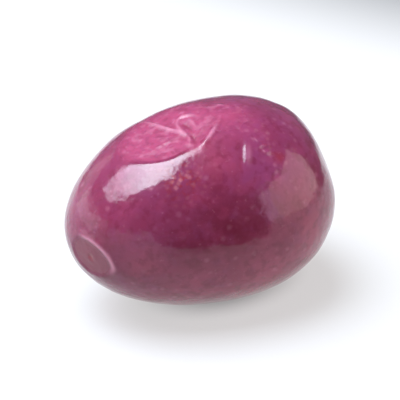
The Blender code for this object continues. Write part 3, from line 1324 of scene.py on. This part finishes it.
@dataclass(frozen=True)
class FloorEdge:
    """A straight edge past which the floor grows dim, square to a direction.

    The direction is an angle in degrees from straight towards the camera, over to its right. The
    floor starts to dim at one distance from the origin and is fully dim at the other.
    """

    direction: float
    start: float
    end: float

    def past(self, graph: Graph) -> Number:
        """How dim the floor is, by each point's distance from the origin in the direction.

        Args:
            graph: the floor's node tree.

        Returns:
            One where the floor is dim, and nothing before the edge.
        """
        turn = radians(self.direction)
        node = graph.vectors("DOT_PRODUCT", graph.place, seen(sin(turn), -cos(turn), 0.0))
        return Number(graph, node.outputs["Value"]).step(self.start, self.end)


@dataclass(frozen=True)
class RestingShade:
    """The soft oval shade on the floor right under the fruit, long along X."""

    half_length: float = 11.0 * MM
    half_width: float = 7.5 * MM
    core: float = 0.2
    strength: float = 0.75

    def share(self, graph: Graph) -> Number:
        """How much of the glow is lost, by each point's distance as a share of the oval's radius.

        Args:
            graph: the floor's node tree.

        Returns:
            The strength as far as the core, falling softly to nothing at the oval's edge.
        """
        scale = Vector((1.0 / self.half_length, 1.0 / self.half_width, 0.0))
        spread = graph.vectors("MULTIPLY", graph.place, scale)
        distance = graph.vectors("LENGTH", spread.outputs[0])
        return self.strength * (1.0 - Number(graph, distance.outputs["Value"]).step(self.core, 1.0))


@dataclass(frozen=True)
class Floor:
    """A plain pale floor with a soft glow of its own, which is dimmed mostly outside the view.

    Each dim part lies past all of its edges. The last one begins in the view's far right corner.
    """

    radius: float = 2.0
    sides: int = 96
    pale: Colour = (0.22, 0.22, 0.22)
    dim: Colour = (0.07, 0.07, 0.07)
    glow: Colour = (0.56, 0.56, 0.56)
    roughness: float = 0.9
    gloss: float = 0.1
    shade: RestingShade = RestingShade()
    dim_parts: tuple[tuple[FloorEdge, ...], ...] = (
        (
            FloorEdge(30.0, 0.035, 0.05),
            FloorEdge(90.0, -0.006, 0.012),
            FloorEdge(-33.0, 0.003, 0.012),
        ),
        (FloorEdge(120.0, 0.07, 0.11),),
        (FloorEdge(150.0, 0.052, 0.095),),
    )

    def material(self) -> bpy.types.Material:
        """The floor's finish.

        Returns:
            The material.
        """
        graph = Graph("floor")
        colour, glow = self.pale, self.glow
        for first, *others in self.dim_parts:
            past = first.past(graph)
            for edge in others:
                past = past * edge.past(graph)
            colour = graph.paint(colour, (past, self.dim))
            glow = graph.paint(glow, (past, BLACK))
        inputs = {
            "Base Color": colour,
            "Emission Color": graph.paint(glow, (self.shade.share(graph), BLACK)),
            "Emission Strength": 1.0,
            "Roughness": self.roughness,
            "Specular IOR Level": self.gloss,
        }
        return graph.finish(inputs)

    def build(self) -> None:
        """Adds the floor as one disc."""
        turn = np.linspace(0.0, 2.0 * pi, self.sides, endpoint=False)
        rim = np.stack([np.cos(turn), np.sin(turn), np.zeros_like(turn)], axis=1) * self.radius
        mesh = bpy.data.meshes.new("floor")
        mesh.from_pydata(rim, [], [tuple(range(self.sides))])
        mesh.materials.append(self.material())
        floor = bpy.data.objects.new("floor", mesh)
        bpy.context.scene.collection.objects.link(floor)


@dataclass(frozen=True)
class Viewpoint:
    """The camera, which looks down on the fruit from the side of its stem end.

    The span is the width that it sees at the fruit's distance.
    """

    distance: float = 251.6 * MM
    span: float = 42.7 * MM
    aim_right: float = 0.26 * MM
    aim_up: float = 0.7 * MM
    nearest: float = 10.0 * MM

    def build(self) -> None:
        """Adds the camera and makes it the scene's."""
        back = seen(0.0, -cos(CAMERA_RISE), sin(CAMERA_RISE))
        right = seen(1.0, 0.0, 0.0)
        up = back.cross(right)
        data = bpy.data.cameras.new("camera")
        data.lens = data.sensor_width * self.distance / self.span
        data.clip_start = self.nearest
        camera = bpy.data.objects.new("camera", data)
        aim = Vector(-BODY.resting_point()) + right * self.aim_right + up * self.aim_up
        camera.matrix_world = Matrix((right, up, back)).transposed().to_4x4()
        camera.location = aim + back * self.distance
        bpy.context.scene.collection.objects.link(camera)
        bpy.context.scene.camera = camera


@dataclass(frozen=True)
class Studio:
    """Floor, surroundings, lights and camera."""

    surroundings: float = 0.22
    floor: Floor = Floor()
    viewpoint: Viewpoint = Viewpoint()
    lights: tuple[Softbox, ...] = LIGHTS

    def build(self) -> None:
        """Adds everything round the olive."""
        world = bpy.data.worlds.new("surroundings")
        world.use_nodes = True
        shade = (self.surroundings, self.surroundings, self.surroundings, 1.0)
        world.node_tree.nodes["Background"].inputs["Color"].default_value = shade
        scene = bpy.context.scene
        scene.world = world
        scene.view_settings.view_transform = "Standard"
        self.floor.build()
        for light in self.lights:
            light.build()
        self.viewpoint.build()


def corners(box: Any) -> list[list[float]]:
    """A box as plain lists.

    Args:
        box: its lowest and its highest corner.

    Returns:
        The two corners, three numbers each.
    """
    return [[float(value) for value in corner] for corner in box]


def main() -> None:
    """Builds the olive and the studio."""
    logging.basicConfig(level=logging.INFO, format="%(name)s: %(message)s")
    olive = Olive()
    piece = olive.build()
    olive.dress(piece)
    LOG.info("%s: %d faces on a frame of %s", piece.name, len(piece.data.polygons), list(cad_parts))
    studio = Studio()
    studio.build()
    LOG.info("floor, camera and %d lights", len(studio.lights))


if __name__ == "__main__":
    main()
